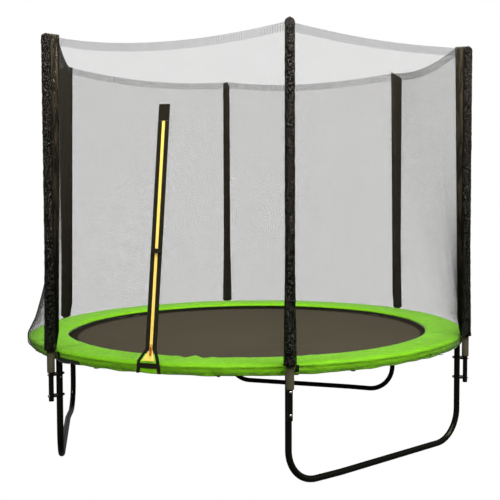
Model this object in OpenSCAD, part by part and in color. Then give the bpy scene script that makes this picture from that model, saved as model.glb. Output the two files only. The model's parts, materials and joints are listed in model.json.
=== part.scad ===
// Round garden trampoline with a safety enclosure, about 8 ft across.
// Six steel rails make the ring; three U-shaped legs carry it; six poles hold the net.
// Everything is in millimetres, +Z is up, the floor is z = 0 and the ring centre is x = y = 0.
// One pole stands at -Y; the next ones follow every 60 degrees, counterclockwise from above.

/* [Ring] */
// Radius of the ring's centre line
ring_r = 1220; // [900:5:1600]
// Height of the ring's centre line above the floor
ring_z = 551.7; // [350:0.1:900]
// Outside diameter of rail and leg tube
tube_d = 32; // [25:0.5:42]
// Wall of rail and leg tube
tube_wall = 1.5; // [1:0.1:3]
// Number of springs
spring_count = 48; // [24:6:72]

/* [Legs] */
// Bend radius of the U legs
bend_r = 165; // [90:5:180]
// Height of the joint between upright and base tube
joint_z = 224; // [185:1:300]
// Distance from a leg to the joint in its base, on the short side
foot_len = 317; // [280:1:600]
// Outward turn of the short side of each base
bow_deg = 3; // [0:0.5:5]

/* [Poles] */
// Gap between leg and pole, filled by the spacers
clamp_gap = 16.3; // [16.3:0.1:40]
// Outside diameter of the poles
pole_d = 25; // [20:0.5:32]
// Wall of the poles
pole_wall = 1.2; // [1:0.1:2.5]
// Height of the poles' upper ends
pole_top_z = 2128; // [1600:5:2400]
// Height of the joint in each pole
pole_joint_z = 1182; // [900:1:1400]
// Distance of the upper clamp bolts below the ring's centre line
bolt_drop = 87.7; // [80:0.1:110]
// Distance between upper and lower clamp bolts
bolt_span = 108; // [60:1:130]
// Length of each pole below its lower bolt
pole_tail = 26; // [15:1:60]
// Outside diameter of the foam tubes
foam_d = 38; // [32:0.5:50]
// Outside diameter of the fabric sleeves
sleeve_d = 46; // [40:0.5:60]
// Thickness of the flange sewn to each sleeve
flange_t = 4; // [2:0.5:8]

/* [Bed] */
// Distance from the woven mat's edge to the ring's centre line
bed_gap = 220; // [150:5:300]
// Thickness of the woven mat
mat_t = 1.6; // [1:0.1:4]
// Width of the mat's sewn edge band
hem_w = 40; // [20:1:60]
// Diameter of the spring coils
coil_d = 20; // [14:0.5:28]
// Diameter of the spring wire
wire_d = 3.4; // [2.4:0.1:5]

/* [Pad] */
// Width of the spring pad
pad_w = 216.6; // [150:0.1:300]
// Gap between the rails and the pad's skirt
skirt_gap = 2.6; // [2.3:0.1:8]
// Thickness of the pad at its crown
pad_t = 22.5; // [15:0.5:40]
// Height of the skirt from the crown to its lower edge
skirt_h = 54.5; // [35:0.5:90]

/* [Net] */
// Gap between the pad's skirt and the middle of the net
net_gap = 2.2; // [2:0.1:2.4]
// Thickness of the net
net_t = 1.2; // [0.6:0.1:3]
// Width of the top edge band
band_w = 38; // [20:1:60]
// Sag of the top edge between two poles
net_sag = 48; // [10:1:90]
// Height of the zip's upper end
zip_top_z = 1788; // [1400:1:1850]
// Distance from the pad's crown to the zip's lower end
zip_rise = 57.5; // [40:0.5:120]
// Width of the zip with both black strips
zip_w = 48; // [30:1:60]
// Width of the yellow tape
tape_w = 18; // [12:0.5:24]

/* [Hidden] */
// Clearance between parts that fit together
fit_gap = 0.3;
// Clearance around bolts
bolt_gap = 0.3;
tube_r = tube_d / 2;
bore_r = tube_r - tube_wall;
swage_r = bore_r - fit_gap;
swage_in = swage_r - tube_wall;
bar_z = tube_r;
leg_top_z = ring_z - tube_r - 0.4;
stub_z = ring_z - bolt_drop - 28;
bolt_hi_z = ring_z - bolt_drop;
bolt_lo_z = bolt_hi_z - bolt_span;
pole_r = ring_r + tube_r + clamp_gap + pole_d / 2;
pole_bore = pole_d / 2 - pole_wall;
pole_low_z = bolt_lo_z - pole_tail;
foam_low_z = bolt_hi_z + 10;
far_len = ring_r - foot_len;
far_deg = atan(foot_len * tan(bow_deg) / far_len);
bolt_d = 8;
head_r = 7.2;
spacer_d = 20;
mat_r = ring_r - bed_gap;
hem_r = mat_r + hem_w;
ring_bar_r = hem_r + 8;
apex_r = ring_bar_r + 30;
vring_d = 3.6;
band_gap = 0.3;
pad_out_r = ring_r + tube_r + skirt_gap;
pad_in_r = pad_out_r - pad_w;
pad_low_z = ring_z + tube_r + 0.3;
pad_top_z = pad_low_z + pad_t;
skirt_z = pad_top_z - skirt_h;
sleeve_low_z = pad_top_z - 3.5;
net_r = pad_out_r + net_gap;
net_flare_z = pad_top_z + 3.5;
net_top_z = pole_top_z + 8;
seam_low_r = net_r - 14.8;
seam_low_z = net_flare_z + 82;
seam_top_r = net_r - 49.8;
edge_off = flange_t / 2 + 0.4;
zip_az = 240;
zip_low_z = pad_top_z + zip_rise;
zip_bar_z = net_flare_z - 36;
zip_top_r = seam_top_r * cos(30) + 5.2;
zip_tilt = atan((net_r - zip_top_r) / (net_top_z - net_sag - net_flare_z));
slit = 3.4;
zip_pin = 5.4;
slide_s = 65;
rows = 14;
cols = 12;
$fn = 48;

// Azimuth of pole k, counted from 1 at -Y
function pole_az(k) = -90 + 60 * (k - 1);

// Place children at the azimuth of pole k
module at_pole(k) {
  rotate([0, 0, pole_az(k)]) children();
}

// Tube wall as a ring about the origin of the profile plane
module ring_profile(r_out, r_in) {
  difference() {
    circle(r = r_out);
    circle(r = r_in);
  }
}

// Straight tube along +Z
module tube(r_out, r_in, z0, z1) {
  difference() {
    translate([0, 0, z0]) cylinder(r = r_out, h = z1 - z0);
    translate([0, 0, z0 - 1]) cylinder(r = r_in, h = z1 - z0 + 2);
  }
}

// Solid bar along +X from x0 to x1
module bar_x(r, x0, x1) {
  translate([x0, 0, 0]) rotate([0, 90, 0]) cylinder(r = r, h = x1 - x0);
}

// Arc of a tube around the ring, from angle a0 over sweep da
module rail_arc(r_out, a0, da) {
  rotate([0, 0, a0]) rotate_extrude(angle = da, $fn = 180)
    translate([ring_r, ring_z]) circle(r = r_out);
}

// One rail with its swaged end, its welded leg stub and its spring holes
module rail(k) {
  half = 30 - 0.008;
  per_rail = spring_count / 6;
  step = 60 / per_rail;
  color([0.09, 0.09, 0.1]) at_pole(k) {
    difference() {
      union() {
        rail_arc(tube_r, -half, 2 * half);
        translate([ring_r, 0, stub_z]) cylinder(r = swage_r, h = ring_z - 6 - stub_z);
      }
      rail_arc(bore_r, -half - 0.2, 2 * half + 0.4);
      translate([ring_r, 0, stub_z - 1]) cylinder(r = swage_in, h = ring_z - tube_r - stub_z);
      translate([ring_r - 60, 0, bolt_hi_z]) bar_x(bolt_d / 2 + bolt_gap, 0, 120);
      translate([ring_r, 0, stub_z + 12]) rotate([-90, 0, 0]) cylinder(r = 2, h = 40);
      for (i = [0 : per_rail - 1])
        rotate([0, 0, -30 + step / 2 + i * step])
          translate([0, 0, ring_z]) bar_x(wire_d / 2 + fit_gap, ring_r - 25, ring_r - 8);
    }
    difference() {
      union() {
        rail_arc(bore_r + 0.6, half - 1.4, 1.3);
        rail_arc(swage_r, half - 0.6, 3.2);
      }
      rail_arc(swage_in, half - 1.6, 4.6);
    }
  }
}

// Upright half of a leg: plain tube with holes for the clamp bolts and the locking screw
module leg_upright(k) {
  color([0.07, 0.07, 0.08]) at_pole(k) difference() {
    translate([ring_r, 0, 0]) tube(tube_r, bore_r, joint_z + fit_gap, leg_top_z);
    for (z = [bolt_hi_z, bolt_lo_z])
      translate([ring_r - 60, 0, z]) bar_x(bolt_d / 2 + bolt_gap, 0, 120);
    translate([ring_r, 0, stub_z + 12]) rotate([-90, 0, 0]) cylinder(r = 2.6, h = 40);
  }
}

// Base part of a U leg, len long from the leg to the joint; turn is the joint's half angle
module base_part(len, turn) {
  zc = bar_z + bend_r;
  difference() {
    union() {
      tube(tube_r, bore_r, zc, joint_z);
      translate([bend_r, 0, zc]) rotate([90, 0, 0]) rotate([0, 0, 180])
        rotate_extrude(angle = 90) translate([bend_r, 0]) ring_profile(tube_r, bore_r);
      translate([bend_r, 0, bar_z]) rotate([0, 90, 0])
        tube(tube_r, bore_r, 0, len - bend_r + 10);
    }
    translate([len - fit_gap / 2, 0, bar_z]) rotate([0, 0, turn])
      translate([0, -60, -60]) cube([80, 120, 120]);
  }
  difference() {
    union() {
      translate([0, 0, joint_z - 16]) cylinder(r = bore_r + 0.6, h = 15.5);
      translate([0, 0, joint_z - 6]) cylinder(r = swage_r, h = 66);
    }
    translate([0, 0, joint_z - 20]) cylinder(r = swage_in, h = 90);
  }
}

// Swaged end of the short base part, which carries the joint of a U leg
module base_spigot(len) {
  translate([0, 0, bar_z]) bar_x(bore_r + 0.6, len - 34, len - 8);
  translate([len, 0, bar_z]) rotate([0, 0, bow_deg + far_deg]) bar_x(swage_r, -12, 55);
}

// Odd poles carry the short part, even poles the long one
module leg_base(k) {
  side = (k % 2 == 1) ? 1 : -1;
  turn = (bow_deg + far_deg) / 2;
  len = (side == 1) ? foot_len / cos(bow_deg) : far_len / cos(far_deg);
  color([0.07, 0.07, 0.08]) at_pole(k) translate([ring_r, 0, 0])
    rotate([0, 0, side * (120 - (side == 1 ? bow_deg : far_deg))]) {
      base_part(len, side * turn);
      if (side == 1) base_spigot(len);
    }
}

// Lower half of a pole
module pole_lower(k) {
  color([0.07, 0.07, 0.08]) at_pole(k) difference() {
    translate([pole_r, 0, 0]) tube(pole_d / 2, pole_bore, pole_low_z, pole_joint_z);
    for (z = [bolt_hi_z, bolt_lo_z])
      translate([pole_r - 40, 0, z]) bar_x(bolt_d / 2 + bolt_gap, 0, 80);
  }
}

// Upper half of a pole with its swaged end
module pole_upper(k) {
  color([0.07, 0.07, 0.08]) at_pole(k) translate([pole_r, 0, 0]) difference() {
    union() {
      translate([0, 0, pole_joint_z + fit_gap])
        cylinder(r = pole_d / 2, h = pole_top_z - pole_joint_z - fit_gap);
      translate([0, 0, pole_joint_z - 60]) cylinder(r = pole_bore - fit_gap, h = 70);
    }
    translate([0, 0, pole_joint_z - 61]) cylinder(r = pole_bore - 1.5, h = 85);
    translate([0, 0, pole_joint_z + 20]) cylinder(r = pole_bore, h = 2000);
  }
}

// Foam tube over a pole
module foam_tube(k) {
  color([0.42, 0.4, 0.37]) at_pole(k) translate([pole_r, 0, 0])
    tube(foam_d / 2, pole_d / 2 + fit_gap, foam_low_z, pole_top_z - 30);
}

// Radius of the line where the net meets the sleeve flange, at height z
function seam_r(z) = min(net_r, max(net_r - (z - net_flare_z) * 0.18,
  seam_low_r - (z - seam_low_z) * (seam_low_r - seam_top_r) / (net_top_z + 12 - seam_low_z)));

// Fabric sleeve with a closed top and the flange that the net is sewn to
module pole_sleeve(k) {
  r_in = foam_d / 2 + 1;
  r_out = sleeve_d / 2;
  top = pole_top_z + 22;
  low = sleeve_low_z;
  sew = net_flare_z + 2;
  color([0.13, 0.12, 0.11]) at_pole(k) {
    translate([pole_r, 0, 0]) rotate_extrude()
      polygon([[r_in, low], [r_out, low], [r_out, top - 16], [r_out - 3, top - 8],
        [r_out - 9, top - 2], [0, top], [0, top - 3], [r_out - 11, top - 5],
        [r_out - 6, top - 10], [r_in, top - 17]]);
    rotate([90, 0, 0]) translate([0, 0, -flange_t / 2]) linear_extrude(height = flange_t)
      polygon([[pole_r - r_out + 1, sew], [seam_r(sew) - 6, sew],
        [seam_r(seam_low_z) - 6, seam_low_z], [seam_r(top - 8) - 6, top - 4],
        [seam_r(top - 8) + 6, top - 3], [pole_r - r_out + 1, top - 15]]);
  }
}

// Domed caps pressed over the upper pole ends
module pole_caps() {
  color([0.05, 0.05, 0.05]) for (k = [1 : 6]) at_pole(k) translate([pole_r, 0, 0])
    rotate_extrude()
      polygon([[pole_d / 2 + fit_gap, pole_top_z - 26], [pole_d / 2 + 1.6, pole_top_z - 26],
        [pole_d / 2 + 1.6, pole_top_z + 6], [pole_d / 2 - 1, pole_top_z + 11],
        [pole_d / 2 - 6, pole_top_z + 14.5], [0, pole_top_z + 16], [0, pole_top_z + fit_gap],
        [pole_d / 2 + fit_gap, pole_top_z + fit_gap]]);
}

// Domed bolt through pole, spacer and leg, with its nut inside the ring
module clamp_bolt(z) {
  tip = ring_r - tube_r - 10;
  head = pole_r + pole_d / 2 + fit_gap;
  translate([0, 0, z]) {
    bar_x(bolt_d / 2, tip, head + 1);
    translate([head, 0, 0]) rotate([0, 90, 0]) rotate_extrude()
      polygon([[0, 0], [head_r, 0], [head_r, 1.4], [head_r - 1, 3], [head_r - 3, 4.4], [0, 5]]);
    translate([ring_r - tube_r - fit_gap - 6.5, 0, 0]) difference() {
      rotate([0, 90, 0]) cylinder(r = 7.5, h = 6.5, $fn = 6);
      bar_x(bolt_d / 2 + 0.2, -1, 8);
    }
  }
}

module clamp_bolts() {
  color([0.75, 0.75, 0.76]) for (k = [1 : 6]) at_pole(k) {
    clamp_bolt(bolt_hi_z);
    clamp_bolt(bolt_lo_z);
  }
}

// Saddle spacer between leg and pole
module clamp_spacer(z) {
  difference() {
    translate([0, 0, z]) bar_x(spacer_d / 2, ring_r + 8, pole_r - 6);
    translate([ring_r, 0, z - 20]) cylinder(r = tube_r + fit_gap, h = 40);
    translate([pole_r, 0, z - 20]) cylinder(r = pole_d / 2 + fit_gap, h = 40);
    translate([0, 0, z]) bar_x(bolt_d / 2 + bolt_gap, ring_r - 10, pole_r + 10);
  }
}

module clamp_spacers() {
  color([0.06, 0.06, 0.06]) for (k = [1 : 6]) at_pole(k) {
    clamp_spacer(bolt_hi_z);
    clamp_spacer(bolt_lo_z);
  }
}

// Pan-head screws that lock each leg on its stub
module joint_screws() {
  color([0.75, 0.75, 0.76]) for (k = [1 : 6]) at_pole(k)
    translate([ring_r, 0, stub_z + 12]) rotate([-90, 0, 0]) {
      translate([0, 0, swage_in - 3]) cylinder(r = 1.7, h = 8);
      translate([0, 0, tube_r + 0.3]) rotate_extrude()
        polygon([[0, -2], [1.7, -2], [1.7, 0], [4.4, 0], [4.4, 1], [3, 2.4], [0, 2.9]]);
    }
}

// Extension spring between a V-ring and the rail
module spring() {
  w = wire_d / 2;
  hook_r = apex_r - 1.8;
  translate([0, 0, ring_z]) {
    bar_x(coil_d / 2, hook_r + 11, ring_r - tube_r - 14);
    bar_x(w, ring_r - tube_r - 16, ring_r - 6.4);
    translate([ring_r - 8, 0, 0]) cylinder(r = w - 0.1, h = 7.5);
    bar_x(w, hook_r + 5.8, hook_r + 13);
    translate([hook_r, 0, 0]) rotate([90, 0, 0]) rotate([0, 0, -30])
      rotate_extrude(angle = 300) translate([5.8, 0]) circle(r = w - 0.05);
  }
}

module springs() {
  color([0.72, 0.73, 0.75]) for (i = [0 : spring_count - 1])
    rotate([0, 0, -90 + (i + 0.5) * 360 / spring_count]) spring();
}

// Woven jumping mat
module mat() {
  color([0.3, 0.28, 0.24]) translate([0, 0, ring_z - mat_t / 2])
    cylinder(r = mat_r, h = mat_t, $fn = 180);
}

// Sewn edge band with one loop for every V-ring
module mat_hem() {
  color([0.05, 0.05, 0.05]) difference() {
    union() {
      rotate_extrude($fn = 180) translate([mat_r + fit_gap, ring_z - 1.5]) square([hem_w - fit_gap, 3]);
      for (i = [0 : spring_count - 1])
        rotate([0, 0, -90 + (i + 0.5) * 360 / spring_count])
          translate([hem_r - 4, -12, ring_z - 3.6]) cube([17, 24, 7.2]);
    }
    for (i = [0 : spring_count - 1])
      rotate([0, 0, -90 + (i + 0.5) * 360 / spring_count])
        translate([ring_bar_r, 20, ring_z]) rotate([90, 0, 0])
          cylinder(r = vring_d / 2 + fit_gap, h = 40);
  }
}

// Triangular wire ring in a loop of the edge band
module v_ring() {
  w = vring_d / 2;
  dy = 18;
  dx = apex_r - ring_bar_r;
  side_len = sqrt(dx * dx + dy * dy);
  side_deg = atan(dy / dx);
  translate([0, 0, ring_z]) {
    translate([ring_bar_r, dy, 0]) rotate([90, 0, 0]) cylinder(r = w, h = 2 * dy);
    for (s = [1, -1]) {
      translate([ring_bar_r, s * dy, 0]) rotate([0, 0, -s * side_deg]) bar_x(w - 0.05, 0, side_len);
      translate([ring_bar_r, s * dy, 0]) sphere(r = w + 0.1);
    }
    translate([apex_r, 0, 0]) sphere(r = w + 0.05);
  }
}

module v_rings() {
  color([0.78, 0.78, 0.79]) for (i = [0 : spring_count - 1])
    rotate([0, 0, -90 + (i + 0.5) * 360 / spring_count]) v_ring();
}

// Padded ring over the springs, with the skirt that hangs outside the rails
module spring_pad() {
  t = pad_top_z;
  b = pad_low_z;
  color([0.42, 0.75, 0.14]) rotate_extrude($fn = 180)
    polygon([[pad_in_r, b + 4], [pad_in_r + 1, b + 8], [pad_in_r + 7, t - 9],
      [pad_in_r + 24, t - 3.4], [pad_in_r + 54, t - 0.8], [pad_in_r + 108, t],
      [pad_out_r - 50, t - 0.8], [pad_out_r - 18, t - 3.6], [pad_out_r - 5, t - 9],
      [pad_out_r, t - 17], [pad_out_r, skirt_z], [pad_out_r - 2, skirt_z],
      [pad_out_r - 2, b], [pad_in_r + 8, b], [pad_in_r + 1, b + 2]]);
}

// Elastic straps that hold the pad down on the rails
module pad_tie() {
  low = ring_z - tube_r - 5;
  x0 = ring_r - tube_r - 4;
  rotate([90, 0, 0]) translate([0, 0, -6]) linear_extrude(height = 12)
    polygon([[x0, pad_low_z - fit_gap], [x0, low], [pad_out_r - 0.2, low],
      [pad_out_r - 0.2, skirt_z - fit_gap], [pad_out_r - 1.8, skirt_z - fit_gap],
      [pad_out_r - 1.8, low + 1.6], [x0 + 1.6, low + 1.6], [x0 + 1.6, pad_low_z - fit_gap]]);
}

module pad_ties() {
  color([0.06, 0.06, 0.06]) for (k = [1 : 6])
    for (s = [-15, 15]) rotate([0, 0, pole_az(k) + s]) pad_tie();
}

// Share of the round shape in the panel's cross-section at height z, ordinary panels
function round_share(z) = (z <= net_flare_z) ? 1
  : pow(max(0, 1 - (z - net_flare_z) / (net_top_z - net_flare_z)), 2.2);

// Radius of the straight zip line at height z
function zip_r(z) = (z <= net_flare_z) ? net_r
  : net_r - (z - net_flare_z) * tan(zip_tilt);

// Half the angle and half the width of a panel at height z
function half_deg(z) = 30 - asin(edge_off / seam_r(z));
function half_w(z) = seam_r(z) * sin(half_deg(z));

// Same share for the panel with the zip, so that its middle line is straight
function zip_share(z) = (zip_r(z) / seam_r(z) - cos(half_deg(z))) / (1 - cos(half_deg(z)));

// Distance from the trampoline's axis, at tangential place y and height z
function panel_x(y, z, share) = (1 - share) * seam_r(z) * cos(half_deg(z))
  + share * sqrt(pow(seam_r(z), 2) - y * y);

// Half the width of the opening for the zip and its straps at height z
function gap_half(z) = (z >= zip_low_z) ? zip_w / 2 + 0.6
  : (z >= net_flare_z) ? zip_w / 2 + 0.6 + (zip_low_z - z) * 0.52
  : zip_w / 2 + 0.6 + (zip_low_z - net_flare_z) * 0.52 + (net_flare_z - z) * 0.1;

// Height of the net's upper edge at width share t, and of any level v below it
function edge_z(t) = net_top_z - band_w - band_gap - net_sag * (1 - t * t);

// Point at distance d outside the point [x, y, z]
function off_pt(x, y, z, d) = [x + d * x / sqrt(x * x + y * y),
  y + d * y / sqrt(x * x + y * y), z];

// Closed sheet through a grid of outer points po and inner points pi, nr by nc cells,
// with the cells of the middle column left out below row keep
module sheet(po, pi, nr, nc, mid, keep) {
  n = (nr + 1) * (nc + 1);
  w = nc + 1;
  pts = concat(po, pi);
  cells = [for (j = [0 : nr - 1]) for (i = [0 : nc - 1]) if (i != mid || j >= keep) [i, j]];
  outer = [for (c = cells) for (s = [0, 1]) s == 0
    ? [c[1] * w + c[0], (c[1] + 1) * w + c[0], (c[1] + 1) * w + c[0] + 1]
    : [c[1] * w + c[0], (c[1] + 1) * w + c[0] + 1, c[1] * w + c[0] + 1]];
  inner = [for (f = outer) [f[0] + n, f[2] + n, f[1] + n]];
  low = [for (c = cells) if (c[1] == 0 || (c[0] == mid && c[1] == keep))
    each wall(c[1] * w + c[0], c[1] * w + c[0] + 1, n)];
  high = [for (c = cells) if (c[1] == nr - 1)
    each wall((c[1] + 1) * w + c[0] + 1, (c[1] + 1) * w + c[0], n)];
  left = [for (c = cells) if (c[0] == 0 || (c[0] == mid + 1 && c[1] < keep))
    each wall((c[1] + 1) * w + c[0], c[1] * w + c[0], n)];
  right = [for (c = cells) if (c[0] == nc - 1 || (c[0] == mid - 1 && c[1] < keep))
    each wall(c[1] * w + c[0] + 1, (c[1] + 1) * w + c[0] + 1, n)];
  polyhedron(points = pts, faces = concat(outer, inner, low, high, left, right));
}

// Two triangles between the edge a-b of the outer points and the same edge inside
function wall(a, b, n) = [[a, b, b + n], [a, b + n, a + n]];

// Ordinary net panel in its own frame, its middle on +X
module net_panel() {
  z0 = skirt_z + 14.3;
  grid = [for (j = [0 : rows]) for (i = [0 : cols])
    let (t = 2 * i / cols - 1, z = z0 + pow(j / rows, 1.6) * (edge_z(t) - z0))
      [panel_x(t * half_w(z), z, round_share(z)), t * half_w(z), z]];
  sheet([for (p = grid) off_pt(p[0], p[1], p[2], net_t / 2)],
    [for (p = grid) off_pt(p[0], p[1], p[2], -net_t / 2)], rows, cols, -5, 0);
}

// Tangential place of column i of 13 in the zip panel, at height z
function zip_y(i, z) = (i <= 6)
  ? -gap_half(z) - (6 - i) / 6 * (half_w(z) - gap_half(z))
  : gap_half(z) + (i - 7) / 6 * (half_w(z) - gap_half(z));

// Height of row j in the zip panel, in the column with width share t
function zip_row_z(j, t) = (j <= 3)
  ? [skirt_z + 14.3, net_flare_z - 22, net_flare_z, zip_low_z][j]
  : (j <= 11) ? zip_low_z + (j - 3) / 8 * (zip_top_z + 0.6 - zip_low_z)
  : zip_top_z + 0.6 + (j - 11) / 4 * (edge_z(t) - zip_top_z - 0.6);

// Net panel with the zip opening
module zip_panel() {
  ref = net_top_z - 178;
  grid = [for (j = [0 : 15]) for (i = [0 : 13])
    let (t = zip_y(i, ref) / half_w(ref), z = zip_row_z(j, t))
      [panel_x(zip_y(i, z), z, zip_share(z)), zip_y(i, z), z]];
  sheet([for (p = grid) off_pt(p[0], p[1], p[2], net_t / 2)],
    [for (p = grid) off_pt(p[0], p[1], p[2], -net_t / 2)], 15, 13, 6, 11);
}

module net() {
  color([0.82, 0.82, 0.82]) {
    for (k = [1 : 5]) rotate([0, 0, pole_az(k) + 30]) net_panel();
    rotate([0, 0, zip_az]) zip_panel();
  }
}

// Band along the net's upper edge
module hem_band(zipped) {
  grid = [for (j = [0 : 1]) for (i = [0 : cols])
    let (t = 2 * i / cols - 1, z = edge_z(t) + band_gap + j * band_w,
      share = zipped ? zip_share(z) : round_share(z))
      [panel_x(t * half_w(z), z, share), t * half_w(z), z]];
  sheet([for (p = grid) off_pt(p[0], p[1], p[2], 1.6)],
    [for (p = grid) off_pt(p[0], p[1], p[2], -1.6)], 1, cols, -5, 0);
}

module net_hem() {
  color([0.76, 0.76, 0.76]) {
    for (k = [1 : 5]) rotate([0, 0, pole_az(k) + 30]) hem_band(false);
    rotate([0, 0, zip_az]) hem_band(true);
  }
}

// Strap that holds the net's lower edge to the rail
module net_tie() {
  low = ring_z - tube_r - 2.8;
  x0 = ring_r - tube_r - 2;
  x1 = net_r + 3.5;
  top = net_flare_z - 6;
  rotate([90, 0, 0]) translate([0, 0, -7]) linear_extrude(height = 14)
    polygon([[x0, ring_z - 3], [x0, low], [x1, low], [x1, top], [x1 - 1.6, top],
      [x1 - 1.6, low + 1.7], [x0 + 1.7, low + 1.7], [x0 + 1.7, ring_z - 3]]);
}

// Band along the net's lower edge, open at the zip, and the straps on both sides of each leg
module net_lower_hem() {
  gap = asin(gap_half(skirt_z) / net_r) + 0.02;
  color([0.07, 0.07, 0.07]) {
    rotate([0, 0, zip_az + gap]) rotate_extrude(angle = 360 - 2 * gap, $fn = 180)
      translate([net_r - 1.6, skirt_z]) square([3.2, 14]);
    for (k = [1 : 6])
      for (s = [-1.9, 1.9]) rotate([0, 0, pole_az(k) + s]) net_tie();
  }
}

// Black strips beside the zip, which turn into the straps below it
module zip_strip(side) {
  end = zip_top_z - 80.3;
  z_list = [skirt_z, skirt_z + 30, net_flare_z, (net_flare_z + zip_low_z) / 2, zip_low_z,
    zip_low_z + (end - zip_low_z) * 0.3, zip_low_z + (end - zip_low_z) * 0.65, end];
  grid = [for (j = [0 : 7]) for (i = [0 : 2])
    let (z = z_list[j], w = (z < zip_low_z) ? 13 : (zip_w - tape_w) / 2 - 0.6,
      y = side * (gap_half(z) - 0.4 - (side > 0 ? 2 - i : i) / 2 * w))
      [panel_x(y, z, zip_share(z)), y, z]];
  sheet([for (p = grid) off_pt(p[0], p[1], p[2], 1.2)],
    [for (p = grid) off_pt(p[0], p[1], p[2], -1.2)], 7, 2, -5, 0);
}

// Frame of the zip line: its X axis points out of the net, its Z axis runs up the zip
module zip_frame() {
  rotate([0, 0, zip_az]) translate([net_r, 0, net_flare_z]) rotate([0, -zip_tilt, 0]) children();
}

module zip_border() {
  s1 = (zip_top_z - net_flare_z) / cos(zip_tilt);
  bar_deg = asin((gap_half(zip_bar_z + 8) - 14.2) / net_r);
  color([0.05, 0.05, 0.05]) {
    rotate([0, 0, zip_az]) zip_strip(1);
    rotate([0, 0, zip_az]) zip_strip(-1);
    zip_frame() translate([-1.2, -zip_w / 2, s1 - 80]) cube([2.4, zip_w, 80]);
    rotate([0, 0, zip_az - bar_deg]) rotate_extrude(angle = 2 * bar_deg, $fn = 720)
      translate([net_r - 1.2, zip_bar_z]) square([2.4, 16]);
  }
}

// Yellow tape halves and the yellow gusset under the slider
module zip_tape() {
  s0 = (zip_low_z - 8 - net_flare_z) / cos(zip_tilt);
  s1 = (zip_top_z - net_flare_z) / cos(zip_tilt) - 80.4;
  color([0.92, 0.8, 0.32]) zip_frame() {
    for (s = [0, 1])
      mirror([0, s, 0]) translate([-1, slit / 2, s0]) cube([2, tape_w / 2 - slit / 2, s1 - s0]);
    rotate([90, 0, 90]) translate([0, 0, -0.5]) linear_extrude(height = 1)
      polygon([[-11, s0 - 0.4], [-36, 1], [36, 1], [11, s0 - 0.4]]);
  }
}

// Slider with a front plate, a back plate, the post between them and the pull's two cheeks
module zip_slider() {
  color([0.85, 0.83, 0.78]) zip_frame() translate([0, 0, slide_s]) {
    for (x = [1.4, -3]) translate([x, -7, -13]) cube([1.6, 14, 26]);
    translate([-2, 0, 6]) bar_x(1.2, 0, 4);
    for (s = [0, 1])
      mirror([0, s, 0]) difference() {
        translate([2.8, 2.6, -2.6]) cube([5, 1.6, 5.2]);
        translate([zip_pin, 2, 0]) rotate([-90, 0, 0]) cylinder(r = 0.5, h = 3);
      }
    translate([zip_pin, -3.4, 0]) rotate([-90, 0, 0]) cylinder(r = 0.9, h = 6.8);
  }
}

// Pull tab hanging from the slider
module zip_pull() {
  color([0.8, 0.5, 0.2]) zip_frame() translate([zip_pin, 0, slide_s]) difference() {
    union() {
      translate([0, -2.2, 0]) rotate([-90, 0, 0]) cylinder(r = 2.1, h = 4.4);
      translate([-0.8, -2.2, -8]) cube([1.6, 4.4, 7]);
      translate([-0.8, -4.5, -38]) cube([1.6, 9, 32]);
    }
    translate([0, -3, 0]) rotate([-90, 0, 0]) cylinder(r = 1.25, h = 6);
  }
}

rail(1);  // rail_1
rail(2);  // rail_2
rail(3);  // rail_3
rail(4);  // rail_4
rail(5);  // rail_5
rail(6);  // rail_6
leg_upright(1);  // leg_upright_1
leg_upright(2);  // leg_upright_2
leg_upright(3);  // leg_upright_3
leg_upright(4);  // leg_upright_4
leg_upright(5);  // leg_upright_5
leg_upright(6);  // leg_upright_6
leg_base(1);  // leg_base_1
leg_base(2);  // leg_base_2
leg_base(3);  // leg_base_3
leg_base(4);  // leg_base_4
leg_base(5);  // leg_base_5
leg_base(6);  // leg_base_6
pole_lower(1);  // pole_lower_1
pole_lower(2);  // pole_lower_2
pole_lower(3);  // pole_lower_3
pole_lower(4);  // pole_lower_4
pole_lower(5);  // pole_lower_5
pole_lower(6);  // pole_lower_6
pole_upper(1);  // pole_upper_1
pole_upper(2);  // pole_upper_2
pole_upper(3);  // pole_upper_3
pole_upper(4);  // pole_upper_4
pole_upper(5);  // pole_upper_5
pole_upper(6);  // pole_upper_6
foam_tube(1);  // foam_tube_1
foam_tube(2);  // foam_tube_2
foam_tube(3);  // foam_tube_3
foam_tube(4);  // foam_tube_4
foam_tube(5);  // foam_tube_5
foam_tube(6);  // foam_tube_6
pole_sleeve(1);  // pole_sleeve_1
pole_sleeve(2);  // pole_sleeve_2
pole_sleeve(3);  // pole_sleeve_3
pole_sleeve(4);  // pole_sleeve_4
pole_sleeve(5);  // pole_sleeve_5
pole_sleeve(6);  // pole_sleeve_6
pole_caps();
clamp_bolts();
clamp_spacers();
joint_screws();
springs();
mat();
mat_hem();
v_rings();
spring_pad();
pad_ties();
net();
net_hem();
net_lower_hem();
zip_border();
zip_tape();
zip_slider();
zip_pull();
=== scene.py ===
"""Round garden trampoline: cloth, padding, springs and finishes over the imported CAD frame."""

import json
import math
from math import cos, radians, sin

import bpy
from bpy.props import FloatProperty, FloatVectorProperty, IntProperty, PointerProperty
from mathutils import Matrix, Vector, noise


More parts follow.
